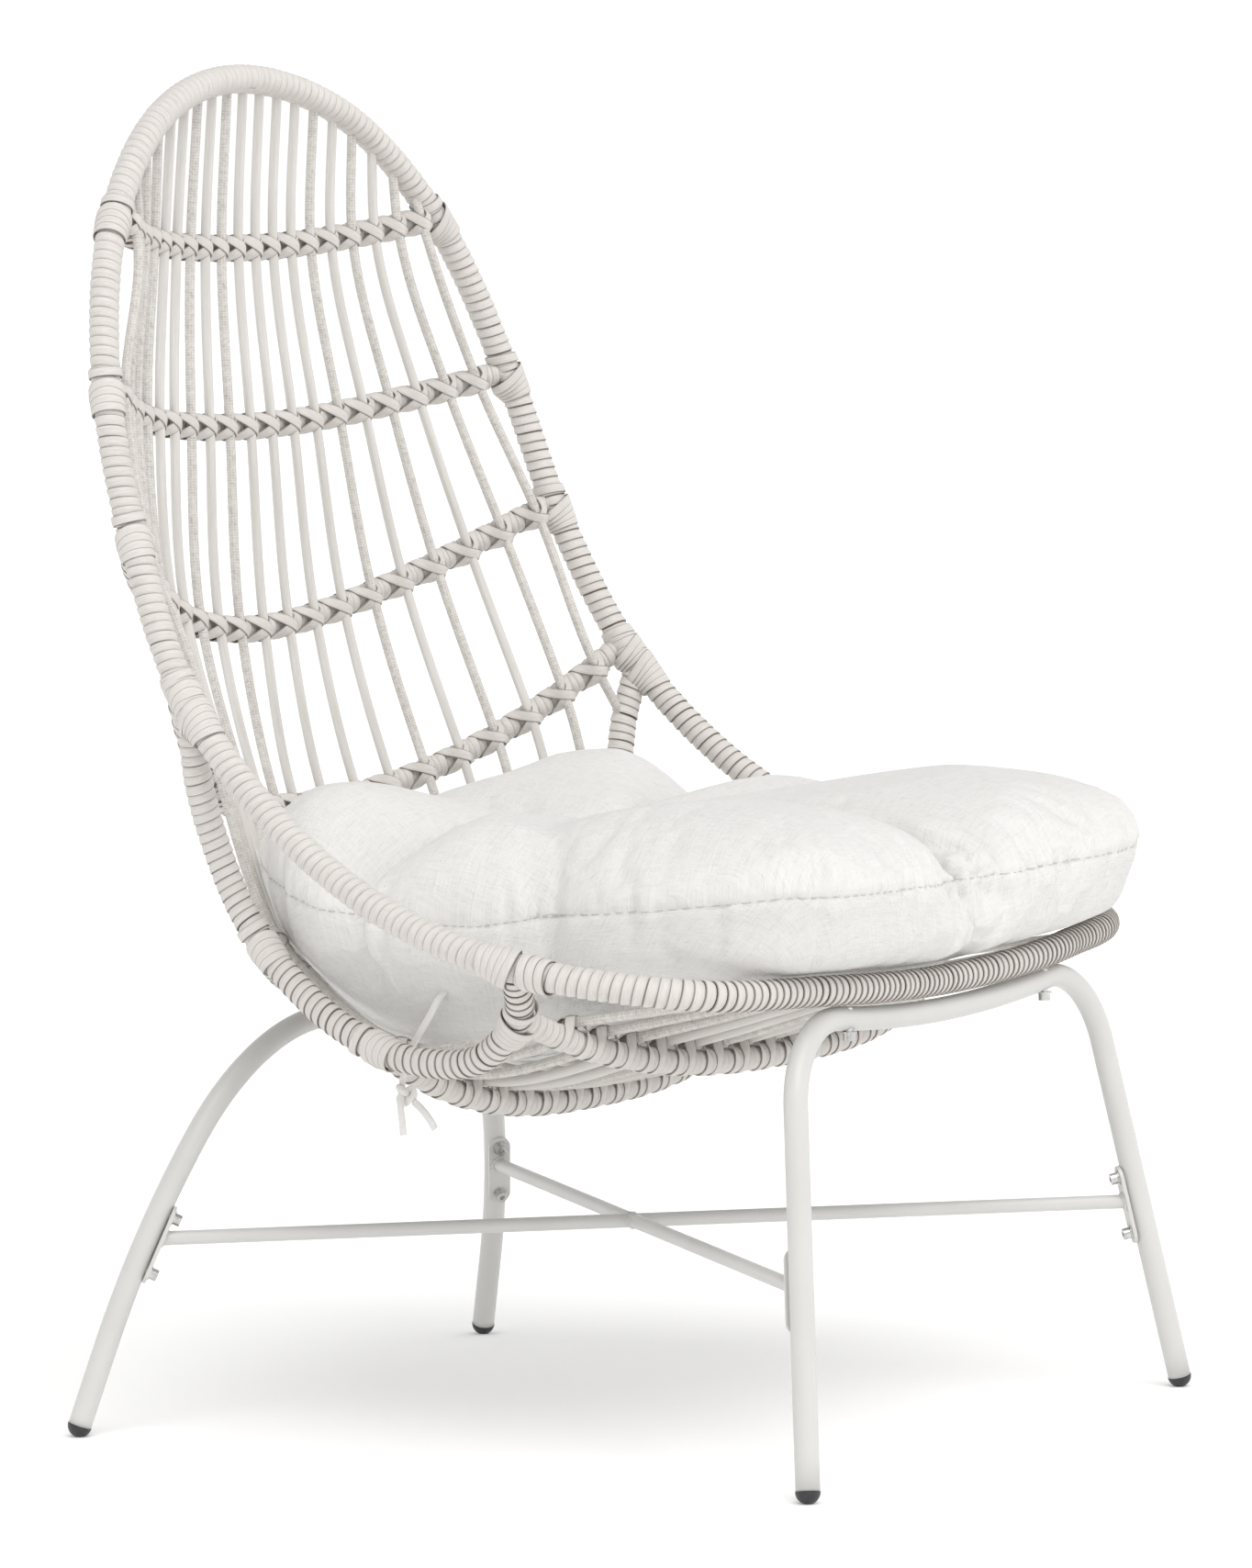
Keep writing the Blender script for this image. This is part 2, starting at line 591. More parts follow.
def strap(name, points, side, sewn_in=0):
    """A folded cloth strap as a closed mesh round its own points, with some more inside the cushion."""
    points = mirrored(points) if side < 0 else np.array(points, float)
    path = curve(points, 5)
    inside = [path[0] + (path[0] - path[3]) * k + (-6 * side * k, 0, 0) for k in range(sewn_in, 0, -1)]
    path = np.vstack([*inside, path])
    line = Line(path, (side, 0.2, 0.1))
    turn = 2 * pi * (np.arange(16) + 0.5) / 16
    b = Builder()
    b.bar(line, np.sign(np.cos(turn)) * np.abs(np.cos(turn))**0.6 * TIE_WIDTH / 2,
          np.sign(np.sin(turn)) * np.abs(np.sin(turn))**0.8 * TIE_THICK / 2)
    return b.build(name, TIE_CLOTH), (path + MIDDLE) * MM, line.length * MM


def tie_knot(name, side):
    """An overhand knot: one fat strand round a small three-lobed loop."""
    t = np.linspace(0, 2 * pi, 97)[:-1]
    loop = np.stack([np.sin(t) + 1.7 * np.sin(2 * t), np.cos(t) - 1.7 * np.cos(2 * t), -1.1 * np.sin(3 * t)],
                    -1)
    turn_to = np.array([[0.25, 0.9, 0.35], [0.2, -0.4, 0.9], [0.95, -0.1, -0.3]])
    points = (np.array(TIE_KNOT) + (loop * 3.0) @ turn_to) * (side, 1, 1)
    b = Builder()
    line = Line(points, (0.21, 0.33, 0.92), True)
    turn = 2 * pi * np.arange(12) / 12
    b.bar(line, 2.5 * np.cos(turn), 3.1 * np.sin(turn))
    return settle(b.build(name, TIE_CLOTH), "tie_cloth")


for side, word in ((-1, "left"), (1, "right")):
    knot = tie_knot("tie_knot_" + word, side)
    tail = strap("tie_tail_strap_" + word, TIE_TAIL, side)[0]
    settle(tail, "tie_cloth", "tie_tail_" + word)
    piece, path, length = strap("tie_strap_" + word, TIE, side, 2)
    settle(piece, "tie_cloth", "tie_" + word)


# ------------ wicker

def make_wraps():
    b = Builder()
    wind(b, Line(RIM, RIM_REF, True), RIM_SKIN, RIM_PITCH, 11, lift=1.5)
    for path in (mirrored(HOOP), HOOP):
        for arm in (path, path[::-1]):
            i = nearest(RIM, arm[0])
            along = unit(RIM[(i + 1) % len(RIM)] - RIM[i - 1])
            reach = arm[np.argmin(np.abs(np.linalg.norm(arm - RIM[i], axis=1) - 34))] - RIM[i]
            out = unit(reach - along * (reach @ along))
            acute = 1 if arm[60] @ along > arm[0] @ along else -1
            fan(b, RIM[i], along * acute, out, RIM_SKIN, 5, 3)
    for rib in RIBS[:4]:
        joint_lashes(b, rib, RIM, RIM_SKIN)
    settle(b.build("rim_strip", WRAP), "wicker_wrap", "rim_wrap")
    for side, word in ((-1, "left"), (1, "right")):
        b = Builder()
        path = HOOP if side > 0 else mirrored(HOOP)
        line = Line(path, HOOP_REF)
        wind(b, line, HOOP_SKIN, HOOP_PITCH, 31 + side, 5, line.length - 6, hand=side)
        for rib in RIBS[4:]:
            joint_lashes(b, rib, path, HOOP_SKIN, side)
        settle(b.build("side_hoop_strip_" + word, WRAP), "wicker_wrap", "side_wrap_" + word)


def joint_lashes(b, rib, main, main_r, *sides):
    """Slanting turns where a rib's ends, or the one on the given side, meet a bar."""
    for side in sides or (-1, 1):
        tip = rib_at(rib, np.array([side * rib[1]]))[0]
        i = int(np.clip(nearest(main, tip), 1, len(main) - 2))
        along = unit(main[i + 1] - main[i - 1])
        reach = rib_at(rib, np.array([side * (rib[1] - 26)]))[0] - main[i]
        out = unit(reach - along * (reach @ along))
        down = -1 if along[2] > 0 else 1
        fan(b, main[i], along * down, out, main_r, 4, 1)


def make_ribs():
    for number, rib in enumerate(RIBS):
        rng = np.random.default_rng(100 + number)
        b = Builder()
        path = rib_at(rib, np.linspace(-rib[1], rib[1], 121))
        line = Line(path, RIB_REF)
        wind(b, line, RIB_SKIN, RIB_PITCH, 50 + number, 7, line.length - 7, steps=18, lift=1.5)
        half = min(0.46 * rib[9], 13.0)
        last = CANE_PAIRS if number < 4 else CANE_PAIRS - 1
        for k in range(-last, last + 1):
            x = rib_x(rib, k)
            if abs(x) < rib[1] - 9:
                along, facing = rib_facing(rib, np.array(x))
                lash_cane(b, rib_at(rib, np.array(x)), along, facing, half, rng)
        settle(b.build(rib[0] + "_strip", WRAP), "wicker_wrap", rib[0] + "_wrap")


def plait(turn, s):
    u, v = turn / (2 * pi), s * MM
    return 0.14 * np.sin(2 * pi * (5 * u + 105 * v)) * np.sin(2 * pi * (5 * u - 105 * v))


# Which canes are braided, from the left side of the chair to the right.
BRAIDED = (1, 1, 1, 1, 0, 0, 1, 0, 1, 0, 0, 0, 0, 1, 0, 1, 0, 1, 1)


def make_canes():
    for number, (k, braided) in enumerate(zip(range(-CANE_PAIRS, CANE_PAIRS + 1), BRAIDED), 1):
        b = Builder()
        if braided:
            sweep(b, resampled(cane_line(k), 2.0), CANE_R, 20, HOOP_REF, plait)
        else:
            sweep(b, resampled(cane_line(k), 7.0), CANE_R, 18, HOOP_REF)
        settle(b.build("round_cane_%02d" % number, BRAID_CANE if braided else SMOOTH_CANE),
               "round_cane", "cane_%02d" % number)


# ------------ legs

LEG_R = 10
STRETCHER_Z = 165
CAP_CENTRE_Z = 9.6
FRONT = {"tilt": -8, "y": -394, "leg": 78.5, "bar": 364}
REAR = {"tilt": 15.1, "y": 319, "leg": 78, "bar": 348}


def turned(centre, r, start, end, n):
    a = np.radians(np.linspace(start, end, n + 1))
    return np.array(centre) + r * np.stack([np.sin(a), np.cos(a)], -1)


def down_to(corner, s, angle):
    """The point on a straight leg at a distance up the frame's plane."""
    return np.array([corner[0] + (corner[1] - s) / math.tan(radians(angle)), s])


# Each half is drawn in its frame's own plane. It notes the stretcher's joint and the leg's direction there.

def front_half():
    """The front frame's right half: an easy arch, a bend and a straight leg."""
    sag_r, sag, bend_r = 1800, 5.8, 80
    bar = turned((0, FRONT["bar"] + sag_r), -sag_r, 0, -sag, 8)
    centre = np.array([sag_r * sin(radians(sag)) + bend_r * sin(radians(sag)),
                       FRONT["bar"] + sag_r * (1 - cos(radians(sag))) - bend_r * cos(radians(sag))])
    bend = turned(centre, bend_r, -sag, FRONT["leg"], 22)
    foot = down_to(bend[-1], CAP_CENTRE_Z / cos(radians(FRONT["tilt"])), FRONT["leg"])
    FRONT["joint"] = down_to(foot, STRETCHER_Z / cos(radians(FRONT["tilt"])), FRONT["leg"])
    FRONT["up"] = (-cos(radians(FRONT["leg"])), sin(radians(FRONT["leg"])))
    return np.vstack([bar[:-1], bend, bend[-1] + (foot - bend[-1]) * np.linspace(0.1, 1, 10)[:, None]])


def rear_half():
    """The rear frame's right half, where the stretcher meets a wide curve."""
    bar_half, bend_r, bend_to, curve_r = 73, 190, 58, 560
    bend_c = np.array([bar_half, REAR["bar"] - bend_r])
    bend = turned(bend_c, bend_r, 0, bend_to, 20)
    curve_c = bend[-1] - curve_r * np.array([sin(radians(bend_to)), cos(radians(bend_to))])
    easy = turned(curve_c, curve_r, bend_to, REAR["leg"], 16)
    foot = down_to(easy[-1], CAP_CENTRE_Z / cos(radians(REAR["tilt"])), REAR["leg"])
    joint_s = STRETCHER_Z / cos(radians(REAR["tilt"]))
    a = math.acos((joint_s - curve_c[1]) / curve_r)
    REAR["joint"] = (curve_c[0] + curve_r * sin(a), joint_s)
    REAR["up"] = (-cos(a), sin(a))
    bar = np.stack([np.linspace(0, bar_half, 5)[:-1], np.full(4, REAR["bar"])], -1)
    return np.vstack([bar, bend, easy[1:], easy[-1] + (foot - easy[-1]) * np.linspace(0.1, 1, 10)[:, None]])


def in_plane(p, which, offset=True):
    p = np.atleast_2d(np.array(p, float))
    tilt = radians(which["tilt"])
    return np.stack([p[:, 0], (which["y"] if offset else 0) - p[:, 1] * sin(tilt), p[:, 1] * cos(tilt)], -1)


def weld(b, centre, axis, radius, bead, seed):
    """A lumpy bead laid round a rod."""
    rng = np.random.default_rng(seed)
    axis = unit(np.array(axis, float))
    side = unit(np.cross(axis, (0.1, 0.2, 1)))
    up = np.cross(axis, side)
    t = 2 * pi * np.arange(36) / 36
    r = radius + 0.4 * np.sin(9 * t + rng.uniform(0, 6))
    ring = centre + r[:, None] * (np.cos(t)[:, None] * side + np.sin(t)[:, None] * up)
    out = unit(ring - centre)
    q = 2 * pi * np.arange(10) / 10
    fat = bead * (1 + 0.12 * np.sin(9 * t + 1))
    rings = ring[:, None] + fat[:, None, None] * (np.cos(q)[None, :, None] * out[:, None]
                                                 + np.sin(q)[None, :, None] * axis)
    b.grid(rings, np.arange(11) / 10, t, closed=True)


def make_legs():
    for word, half, which in (("front", front_half(), FRONT), ("rear", rear_half(), REAR)):
        p = in_plane(half, which)
        path = np.vstack([mirrored(p[:0:-1]), p])
        b = Builder()
        sweep(b, path, LEG_R, 32, RIB_REF)
        settle(b.build(word + "_leg_tube", PAINT), "leg_paint", word + "_leg_frame")
    rear_p, front_p = (in_plane(which["joint"], which)[0] for which in (REAR, FRONT))
    rear_up, front_up = (in_plane(which["up"], which, False)[0] for which in (REAR, FRONT))
    b = Builder()
    face = LEG_R + 0.1 + 3
    for side in (1, -1):
        a, c = rear_p * (side, 1, 1), front_p * (-side, 1, 1)
        for near, far, up in ((a, c, rear_up * (side, 1, 1)), (c, a, front_up * (-side, 1, 1))):
            rod = unit(far - near)
            normal = unit(rod - up * (rod @ up))
            weld(b, near + rod * (face + 0.3) / (rod @ normal), normal, 6.6, 1.9, 7 + side)
    rod = rear_p - front_p * (-1, 1, 1)
    crossing = front_p * (-1, 1, 1) + rod * (front_p[0] / (rear_p[0] + front_p[0]))
    for shift in (-1, 1):
        weld(b, crossing + shift * 5 * unit(rod), unit(rod), 5.6, 1.6, 20 + shift)
    settle(b.build("stretcher_welds", PAINT), "leg_paint")
    for word, material in (("_stretcher", PAINT), ("_screws", SCREW), ("_washers", SCREW), ("foot_cap", CAP),
                           ("_tube", STEEL)):
        for node in NODES:
            if word in node:
                paint_node(node, material)


make_wraps()
make_ribs()
make_canes()
make_legs()


# ------------ cushion

# The CAD cushion's levels: z, half width, front, back, front power, back power, widest line.
CUSHION = np.array([
    (302, 90, -66, 50, 2.0, 2.0, 0), (322, 196, -124, 108, 2.0, 1.9, 10),
    (350, 262, -216, 160, 2.2, 1.7, 20), (380, 292, -285, 200, 2.4, 1.6, 40),
    (410, 306, -334, 228, 2.9, 1.6, 60), (421, 322, -380, 238, 6, 1.6, 60),
    (445, 330, -392, 252, 7, 1.6, 60), (480, 334, -400, 272, 9, 1.6, 60), (515, 331, -392, 284, 8, 1.7, 60),
    (545, 306, -360, 276, 4, 1.8, 50), (566, 246, -296, 230, 2.8, 2.0, 20),
    (575, 140, -180, 120, 2.2, 2.0, -10)], float)
LEVEL_STEP = 3.0
BELLY_END = 316
# Height of the edge seam, by its direction round the cushion from the right side towards the back.
SEAM = [(-90, 468), (-70, 473), (-50, 478), (-38, 466), (-28, 459), (-15, 447), (0, 446), (12, 456),
        (22, 469), (38, 484), (60, 486), (90, 478)]
# Gathers: the edge point that each line from the middle button ends on, how far it pulls the edge in,
# over a hand's width and right at the line, and how wide and how slack it is.
GATHERS = [((0, -398), 28, 16, 62, 0), ((332, -150), 0, 15, 46, 30), ((322, 38), 0, 16, 46, 5),
           ((0, 272), 22, 14, 46, 0)]
# How full the lobes are, by their direction, like the seam.
FULL = [(-90, 0.85), (-62, 0.8), (-45, 0.84), (-30, 0.84), (-8, 1.02), (5, 1.2), (20, 1.46),
        (38, 1.46), (60, 1.05), (90, 1)]
# How much lower than the CAD's levels the front of the belly settles towards the rim.
SETTLE = [(-90, 11.5), (-75, 10), (-58, 7.5), (-47, 12), (-40, 14), (-20, 14), (-5, 6), (5, 0), (90, 0)]
GATHER_LINES = [(np.array(p, float), *rest) for p, *rest in GATHERS] + [
    (np.array((-p[0], p[1]), float), *rest) for p, *rest in GATHERS if p[0]]
SEAM_INSET = 5.0
# Pleats: the seam point that each crosses, its reach above and below the seam, how far it leans to the
# left seen from outside over a hand's breadth, its depth and its half width.
PLEATS = [
    (-4, -352, 130, 75, 26, 7.5, 7), (42, -388, 75, 62, 14, 3.6, 6), (84, -392, 60, 20, 12, 3.0, 5),
    (128, -392, 80, 70, 10, 4.2, 6), (205, -390, 22, 55, 4, 2.6, 5), (286, -376, 70, 45, 4, 3.0, 7),
    (-44, -390, 24, 44, -6, 2.6, 5), (-120, -392, 60, 40, -6, 2.6, 6), (-275, -380, 70, 78, 6, 4.6, 6),
    (-300, -372, 46, 20, 2, 2.6, 5), (-329, -322, 0, 58, 0, 2.6, 5), (-331, -236, 46, 30, 0, 2.2, 6),
    (-326, -146, 96, 46, -16, 6.0, 8), (-328, -118, 44, 20, -8, 2.8, 5), (-322, 30, 100, 96, 8, 7.5, 7),
    (-322, 2, 40, 60, 4, 3.2, 6), (-300, 120, 60, 60, 0, 2.6, 7), (-200, 236, 60, 60, 0, 3, 7),
    (326, -146, 96, 46, 16, 6.0, 8), (331, -250, 50, 50, 0, 2.8, 6), (322, 30, 100, 90, -8, 7.0, 7),
    (300, 130, 60, 60, 0, 2.8, 7), (210, 232, 70, 60, 0, 3, 7), (0, 262, 90, 70, 0, 5, 9)]


def by_direction(table, theta):
    """A value from a table by direction: theta in radians, 0 towards +x and pi / 2 towards the back."""
    fold = np.degrees(np.arcsin(np.clip(np.sin(theta), -1, 1)))
    return np.interp(fold, *zip(*table))


def seam_height(theta):
    return by_direction(SEAM, theta)


def outline(z):
    """The CAD cushion's outline at each height in z."""
    half, front, back, fp, bp, c = (np.interp(z, CUSHION[:, 0], CUSHION[:, k])[:, None] for k in range(1, 7))
    t = np.linspace(0, 2 * pi, 721)
    e = 2 / np.where(np.sin(t) > 0, bp, fp)
    x = half * np.sign(np.cos(t)) * np.abs(np.cos(t))**e
    y = c + np.where(np.sin(t) > 0, back - c, c - front) * np.sign(np.sin(t)) * np.abs(np.sin(t))**e
    return x, y


def reach_table():
    """How far the outline lies from the axis, by height and direction."""
    zs = np.arange(CUSHION[0, 0], CUSHION[-1, 0] + 1, LEVEL_STEP)
    thetas = np.linspace(-pi, pi, 361)
    rows = []
    for x, y in zip(*outline(zs)):
        a = np.arctan2(y, x)
        order = np.argsort(a)
        rows.append(np.interp(thetas, a[order], np.hypot(x, y)[order], period=2 * pi))
    return np.array(rows)


REACH = reach_table()


def between(table, i, j):
    """A value between the four nearest entries of a table."""
    i0, j0 = (np.minimum(np.floor(k).astype(int), size - 2) for k, size in zip((i, j), table.shape))
    fi, fj = i - i0, j - j0
    return ((table[i0, j0] * (1 - fj) + table[i0, j0 + 1] * fj) * (1 - fi)
            + (table[i0 + 1, j0] * (1 - fj) + table[i0 + 1, j0 + 1] * fj) * fi)


def reach_at(theta, z):
    return between(REACH, np.clip((z - CUSHION[0, 0]) / LEVEL_STEP, 0, len(REACH) - 1.001),
                   np.clip((theta + pi) / (2 * pi) * 360, 0, 359.999))


def gather_distance(x, y):
    """Distance to the nearest gather line, as one of the usual width would lie."""
    best = np.full(x.shape, 1e9)
    for end, _, _, wide, slack in GATHER_LINES:
        length = np.hypot(*end)
        d = end / length
        s = np.clip(x * d[0] + y * d[1], 0, length * 1.2)
        best = np.minimum(best, np.hypot(x - s * d[0], y - s * d[1]) * 46 / wide + slack)
    return best


def seam_pull(theta):
    """How far the gathers draw the edge in."""
    pull = np.zeros_like(theta)
    for end, broad, near, _, _ in GATHER_LINES:
        off = np.abs((theta - math.atan2(end[1], end[0]) + pi) % (2 * pi) - pi) * 340
        pull += broad * np.exp(-(off / 110)**2) + near * np.exp(-off / 24)
    return pull


def space(theta, z):
    """The room for the belly: at the front it settles a little lower, towards the rim."""
    share = np.clip((450 - z) / 20, 0, 1) * np.clip((z - 390) / 10, 0, 1)
    return reach_at(theta, z + by_direction(SETTLE, theta) * share)


def cushion_form():
    """The cushion before it is blown up: lobes between gathers, and a rounded belly in the basket."""
    around = np.linspace(-pi, pi, 361)[:-1]
    seam = seam_height(around)
    pull = seam_pull(around)
    rear = np.clip((np.sin(around) - 0.42) / 0.4, 0, 1)
    rings = []
    for rho in np.sin(np.linspace(0.02, 1, 52) * pi / 2):
        edge = reach_at(around, seam) - SEAM_INSET - pull
        x, y = rho * edge * np.cos(around), rho * edge * np.sin(around)
        d = gather_distance(x, y)
        lobe = 1 - np.exp(-(d / 46)**1.15)
        level = 466 + (seam - 466) * rho**2
        # 14 mm over the gathers, and the lobes' fullness on top, less beside the back.
        tall = 14 + (22 + 60 * rho**2 * (1 - 0.72 * rear)) * lobe * by_direction(FULL, around)
        z = level + tall * (1 - rho**(5 - 2 * rear))**0.55
        rings.append(np.stack([x, y, z], -1))
    for f in np.linspace(0, 1, 46)[1:]:
        # The belly's rings, from the seam down.
        z = seam + (BELLY_END - seam) * f
        edge = space(around, z) - SEAM_INSET - pull * max(0, 1 - 2.2 * f)
        edge = np.maximum(edge, 4) * (1 if f < 0.98 else 0.9)
        rings.append(np.stack([edge * np.cos(around), edge * np.sin(around), z], -1))
    b = Builder()
    b.grid(np.array(rings)[:, ::-1], np.linspace(0, 1, 361), np.arange(len(rings)))
    return b.build("cushion", CLOTH)


def voxel(ob, size):
    """A new even mesh, which the cloth needs."""
    m = ob.modifiers.new("voxel", "REMESH")
    m.mode, m.voxel_size, m.use_smooth_shade = "VOXEL", size, True
    apply(ob)


def apply(ob):
    """Bakes an object's modifiers into its mesh."""
    graph = bpy.context.evaluated_depsgraph_get()
    mesh = bpy.data.meshes.new_from_object(ob.evaluated_get(graph))
    ob.modifiers.clear()
    old, ob.data = ob.data, mesh
    bpy.data.meshes.remove(old)


def read(mesh, kind):
    """Every vertex's co or normal."""
    values = np.empty(len(mesh.vertices) * 3, np.float32)
    mesh.vertices.foreach_get(kind, values)
    return values.reshape(-1, 3).astype(float)


def points_of(mesh):
    return read(mesh, "co") / MM - MIDDLE


def put_points(mesh, p):
    mesh.vertices.foreach_set("co", ((p + MIDDLE) * MM).astype(np.float32).ravel())
    mesh.update()


def polar(p):
    return np.arctan2(p[:, 1], p[:, 0]), np.hypot(p[:, 0], p[:, 1])


def blow_up(ob, cap):
    """Cloth with pressure inside, held at the button, the gathers and where it rests in the basket."""
    start = points_of(ob.data)
    theta, r = polar(start)
    z = start[:, 2]
    d = gather_distance(start[:, 0], start[:, 1])
    out = r / np.maximum(reach_at(theta, seam_height(theta)), 1)
    hold = np.clip((392 - z) / 30, 0, 1)
    top = z > seam_height(theta) - 30
    hold = np.maximum(hold, np.where(top, np.exp(-(r / 16)**2), 0))
    hold = np.maximum(hold, np.where(top, np.exp(-(d / 7)**2) * np.clip((out - 0.80) / 0.12, 0, 1), 0))
    hold = np.maximum(hold, np.where(top, 0.5 * np.exp(-(d / 6)**2), 0))
    group = ob.vertex_groups.new(name="hold")
    for level in range(1, 11):
        picked = np.nonzero(np.round(hold * 10) == level)[0]
        if len(picked):
            group.add(picked.tolist(), level / 10, "REPLACE")
    cloth = ob.modifiers.new("cloth", "CLOTH")
    s = cloth.settings
    s.quality, s.mass, s.air_damping = 6, 0.25, 1.0
    s.tension_stiffness = s.compression_stiffness = 18
    s.shear_stiffness, s.bending_stiffness = 6, 0.35
    s.use_pressure, s.uniform_pressure_force = True, 4.0
    s.vertex_group_mass, s.pin_stiffness = "hold", 1.0
    s.shrink_min = -0.035
    s.effector_weights.gravity = 0
    cloth.collision_settings.use_collision = False
    cloth.point_cache.frame_start, cloth.point_cache.frame_end = 1, 20
    for number in range(1, 21):
        scene.frame_set(number)
    graph = bpy.context.evaluated_depsgraph_get()
    done = ob.evaluated_get(graph).to_mesh()
    end = points_of(done)
    ob.evaluated_get(graph).to_mesh_clear()
    ob.modifiers.clear()
    scene.frame_set(1)
    move = end - start
    size = np.linalg.norm(move, axis=1, keepdims=True)
    move *= np.minimum(1, cap / np.maximum(size, 1e-6))
    ob.vertex_groups.clear()
    put_points(ob.data, start + move)


def fill_out(p):
    """Widens the blown-up cushion until its seam and belly fill their space, and keeps its folds."""
    (theta, r), z = polar(p), p[:, 2]
    seam = seam_height(theta)
    down = np.clip((seam - z) / (seam - BELLY_END), 0, 1)
    want = space(theta, np.clip(z, 304, seam)) - 2 - seam_pull(theta) * np.maximum(0, 1 - 2.2 * down)
    cols, rows = 72, 16
    i, j = (theta + pi) / (2 * pi) * cols, down * (rows - 1)
    wall = (z < seam + 6) & (r > 0.6 * want) & (down < 0.97)
    at = (np.floor(i[wall]).astype(int) % cols, np.round(j[wall]).astype(int))
    total, count = np.zeros((cols, rows)), np.zeros((cols, rows))
    np.add.at(total, at, want[wall] / r[wall])
    np.add.at(count, at, 1)
    ratio = np.where(count > 0, total / np.maximum(count, 1), 1)
    ratio = sum(w * np.roll(ratio, k, 0) for k, w in ((-2, 0.1), (-1, 0.25), (0, 0.3), (1, 0.25), (2, 0.1)))
    pad = np.pad(ratio, ((0, 0), (1, 1)), "edge")
    ratio = 0.25 * pad[:, :-2] + 0.5 * pad[:, 1:-1] + 0.25 * pad[:, 2:]
    k = between(np.vstack([ratio, ratio[:1]]), (i - 0.5) % cols, j)
    share = np.where(z > seam, np.clip(r / want, 0, 1)**2, 1)
    p[:, :2] *= (1 + (k - 1) * share)[:, None]
    return p


def keep_inside(p, gap):
    """Draws points back that would leave the CAD cushion's space."""
    theta, r = polar(p)
    most = space(theta, np.clip(p[:, 2], 304, 573)) - gap
    scale = np.minimum(1, most / np.maximum(r, 1e-6))
    below_crown = p[:, 2] < 556
    p[below_crown, :2] *= scale[below_crown, None]
    return p


def pleat(p, n, theta, r, seam, edge):
    """Folds that the gathers and the tight seam throw up."""
    d = p[:, 2] - seam
    along = np.sign(d) * np.hypot(np.maximum(edge - r, 0), d)
    push = np.zeros(len(p))
    for x, y, above, below, lean, depth, width in PLEATS:
        across = ((theta - math.atan2(y, x) + pi) % (2 * pi) - pi) * r - lean * np.abs(along) / 80
        fade = np.clip(1 - np.abs(along) / np.where(along > 0, max(above, 1), max(below, 1)), 0, 1)**0.7
        fold = np.exp(-(across / width)**2) - 0.45 * np.exp(-((across - 2 * width) / (1.4 * width))**2)
        push -= 1.35 * depth * fade * fold * (np.abs(across) < 90)
    return p + n * push[:, None]


def make_cushion():
    ob = cushion_form()
    voxel(ob, 0.006)
    blow_up(ob, 26)
    put_points(ob.data, keep_inside(fill_out(points_of(ob.data)), 1.0))
    ob.modifiers.new("fine", "SUBSURF").levels = 1
    apply(ob)
    mesh = ob.data
    p, n = points_of(mesh), read(mesh, "normal")
    theta, r = polar(p)
    seam = seam_height(theta)
    edge = reach_at(theta, seam) - seam_pull(theta)
    p = pleat(p, n, theta, r, seam, edge)
    d = p[:, 2] - seam
    wall = np.clip((r / edge - 0.80) / 0.08, 0, 1)
    groove = 1.3 * np.exp(-(d / 2.6)**2) + 2.0 * np.exp(-np.abs(d) / 9)
    rng = np.random.default_rng(5)
    pucker = sum(a * np.sin(k * theta + q) for k, a, q in zip(
        rng.integers(40, 150, 14), rng.uniform(0.1, 0.34, 14), rng.uniform(0, 6, 14)))
    p -= n * (wall * (groove + pucker * np.exp(-np.abs(d) / 16)))[:, None]
    put_points(mesh, p)
    mesh.materials.clear()
    mesh.materials.append(CLOTH)
    mesh.polygons.foreach_set("use_smooth", np.ones(len(mesh.polygons), bool))
    lay = mesh.uv_layers.new(name="lay")
    below = np.maximum(0, seam - p[:, 2])
    run = np.where((p[:, 2] < seam) & (r > 0.55 * edge), edge + below, r)
    loops = np.empty(len(mesh.loops), np.int32)
    mesh.loops.foreach_get("vertex_index", loops)
    flat = np.stack([run * np.cos(theta), run * np.sin(theta)], -1) * MM
    lay.data.foreach_set("uv", flat[loops].astype(np.float32).ravel())
    settle(ob, "cushion_cloth", "cushion_cover", "cushion_filling")
    stitch(ob)


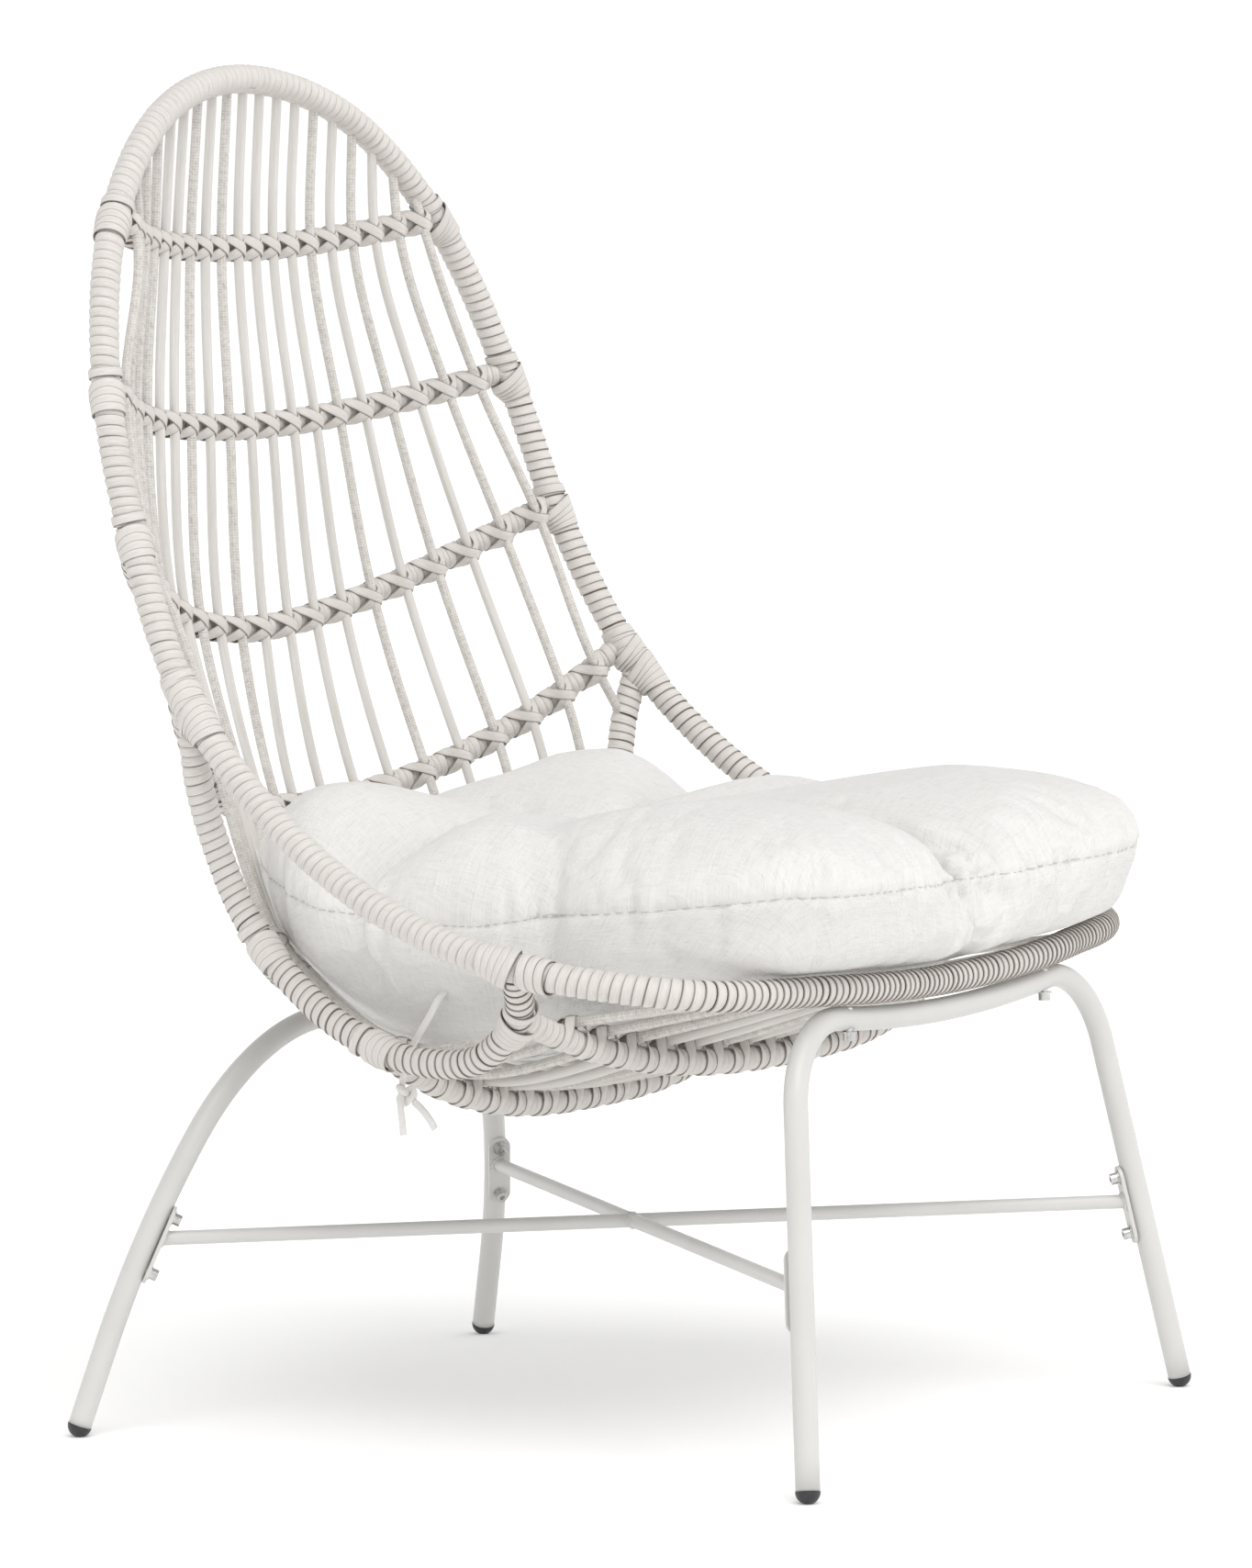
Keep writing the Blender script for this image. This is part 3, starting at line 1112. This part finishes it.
def stitch(cushion):
    """Short stitches along the edge seam, each lying in the groove."""
    graph = bpy.context.evaluated_depsgraph_get()
    tree = BVHTree.FromObject(cushion, graph)
    rng = np.random.default_rng(9)
    b = Builder()
    theta = -pi
    while theta < pi:
        ends = []
        for t in (theta, theta + 0.0075, theta + 0.015):
            z = float(seam_height(np.array(t)))
            away = Vector((cos(t), sin(t), 0))
            hit = tree.ray_cast(away * 0.6 + Vector(MIDDLE * MM) + Vector((0, 0, z * MM)), -away)[0]
            if hit is not None:
                ends.append(np.array(hit) / MM - MIDDLE)
        if len(ends) == 3:
            # The middle stands out a little and the ends sink in.
            path = np.array(ends)
            path += np.outer((-0.5, 0.25, -0.5), unit(path[1] * (1, 1, 0)))
            sweep(b, path, 0.62, 6, (0, 0, 1))
        theta += 0.0235 + rng.uniform(-0.001, 0.001)
    settle(b.build("seam_stitches", THREAD), "cushion_cloth")


make_cushion()


# ------------ floor and light

def make_stage():
    n = Nodes("pale_floor")
    tone = n.noise(n.position(), 1.5, 2.0)
    n.finish(n.ramp(tone, (0.3, (0.93, 0.93, 0.925)), (0.7, (0.95, 0.95, 0.945))), 0.9,
             Emission_Color=(1, 1, 1, 1), Emission_Strength=0.13)
    mesh = bpy.data.meshes.new("floor")
    reach = 60
    corners = [(-reach, -reach, 0), (reach, -reach, 0), (reach, reach, 0), (-reach, reach, 0)]
    mesh.from_pydata(corners, [], [(0, 1, 2, 3)])
    mesh.materials.append(n.material)
    floor = bpy.data.objects.new("floor", mesh)
    scene.collection.objects.link(floor)


def make_light():
    """A white horizon with a softer sky, and two wide soft suns."""
    world = bpy.data.worlds.new("studio")
    scene.world = world
    world.use_nodes = True
    tree = world.node_tree
    back = tree.nodes["Background"]
    split = tree.nodes.new("ShaderNodeSeparateXYZ")
    ramp = tree.nodes.new("ShaderNodeValToRGB")
    tree.links.new(tree.nodes.new("ShaderNodeTexCoord").outputs[0], split.inputs[0])
    tree.links.new(split.outputs[2], ramp.inputs[0])
    for element, (at, shade) in zip(ramp.color_ramp.elements, ((0.24, 1.05), (0.55, 0.60))):
        element.position, element.color = at, (shade, shade, shade, 1)
    tree.links.new(ramp.outputs[0], back.inputs["Color"])
    sun_light("key", (-0.5, -0.55, 1.1), 1.55, 46, (1, 0.992, 0.98))
    sun_light("fill", (0.7, -0.9, 0.55), 0.35, 80, (0.985, 0.99, 1))
    scene.view_settings.view_transform = "Standard"


make_stage()
make_light()
